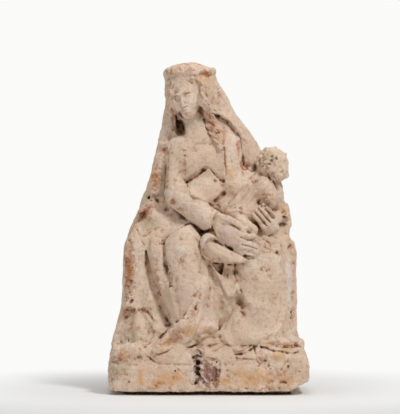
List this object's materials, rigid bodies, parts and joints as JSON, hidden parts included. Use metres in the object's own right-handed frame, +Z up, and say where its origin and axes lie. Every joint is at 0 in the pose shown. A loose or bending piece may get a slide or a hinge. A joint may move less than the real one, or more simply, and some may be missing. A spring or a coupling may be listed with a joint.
{
  "type": "madonna and child statue",
  "caption": "Small limestone statue of a crowned and veiled mother seated with her child on her lap, carved in one with a low plinth.",
  "frame": {"origin": "middle of the underside of the plinth, where it stands", "axes": "+Z up, -Y out of the carved front, +X to the viewer's right, where the child's head is"},
  "size_m": [0.201, 0.112, 0.3325],
  "materials": {
    "limestone": "worn, unpolished beige-pink limestone with orange-brown stains on the raised edges and dark dirt in the hollows"
  },
  "bodies": {
    "root": {"madonna_and_child": "limestone"}
  },
  "joints": []
}
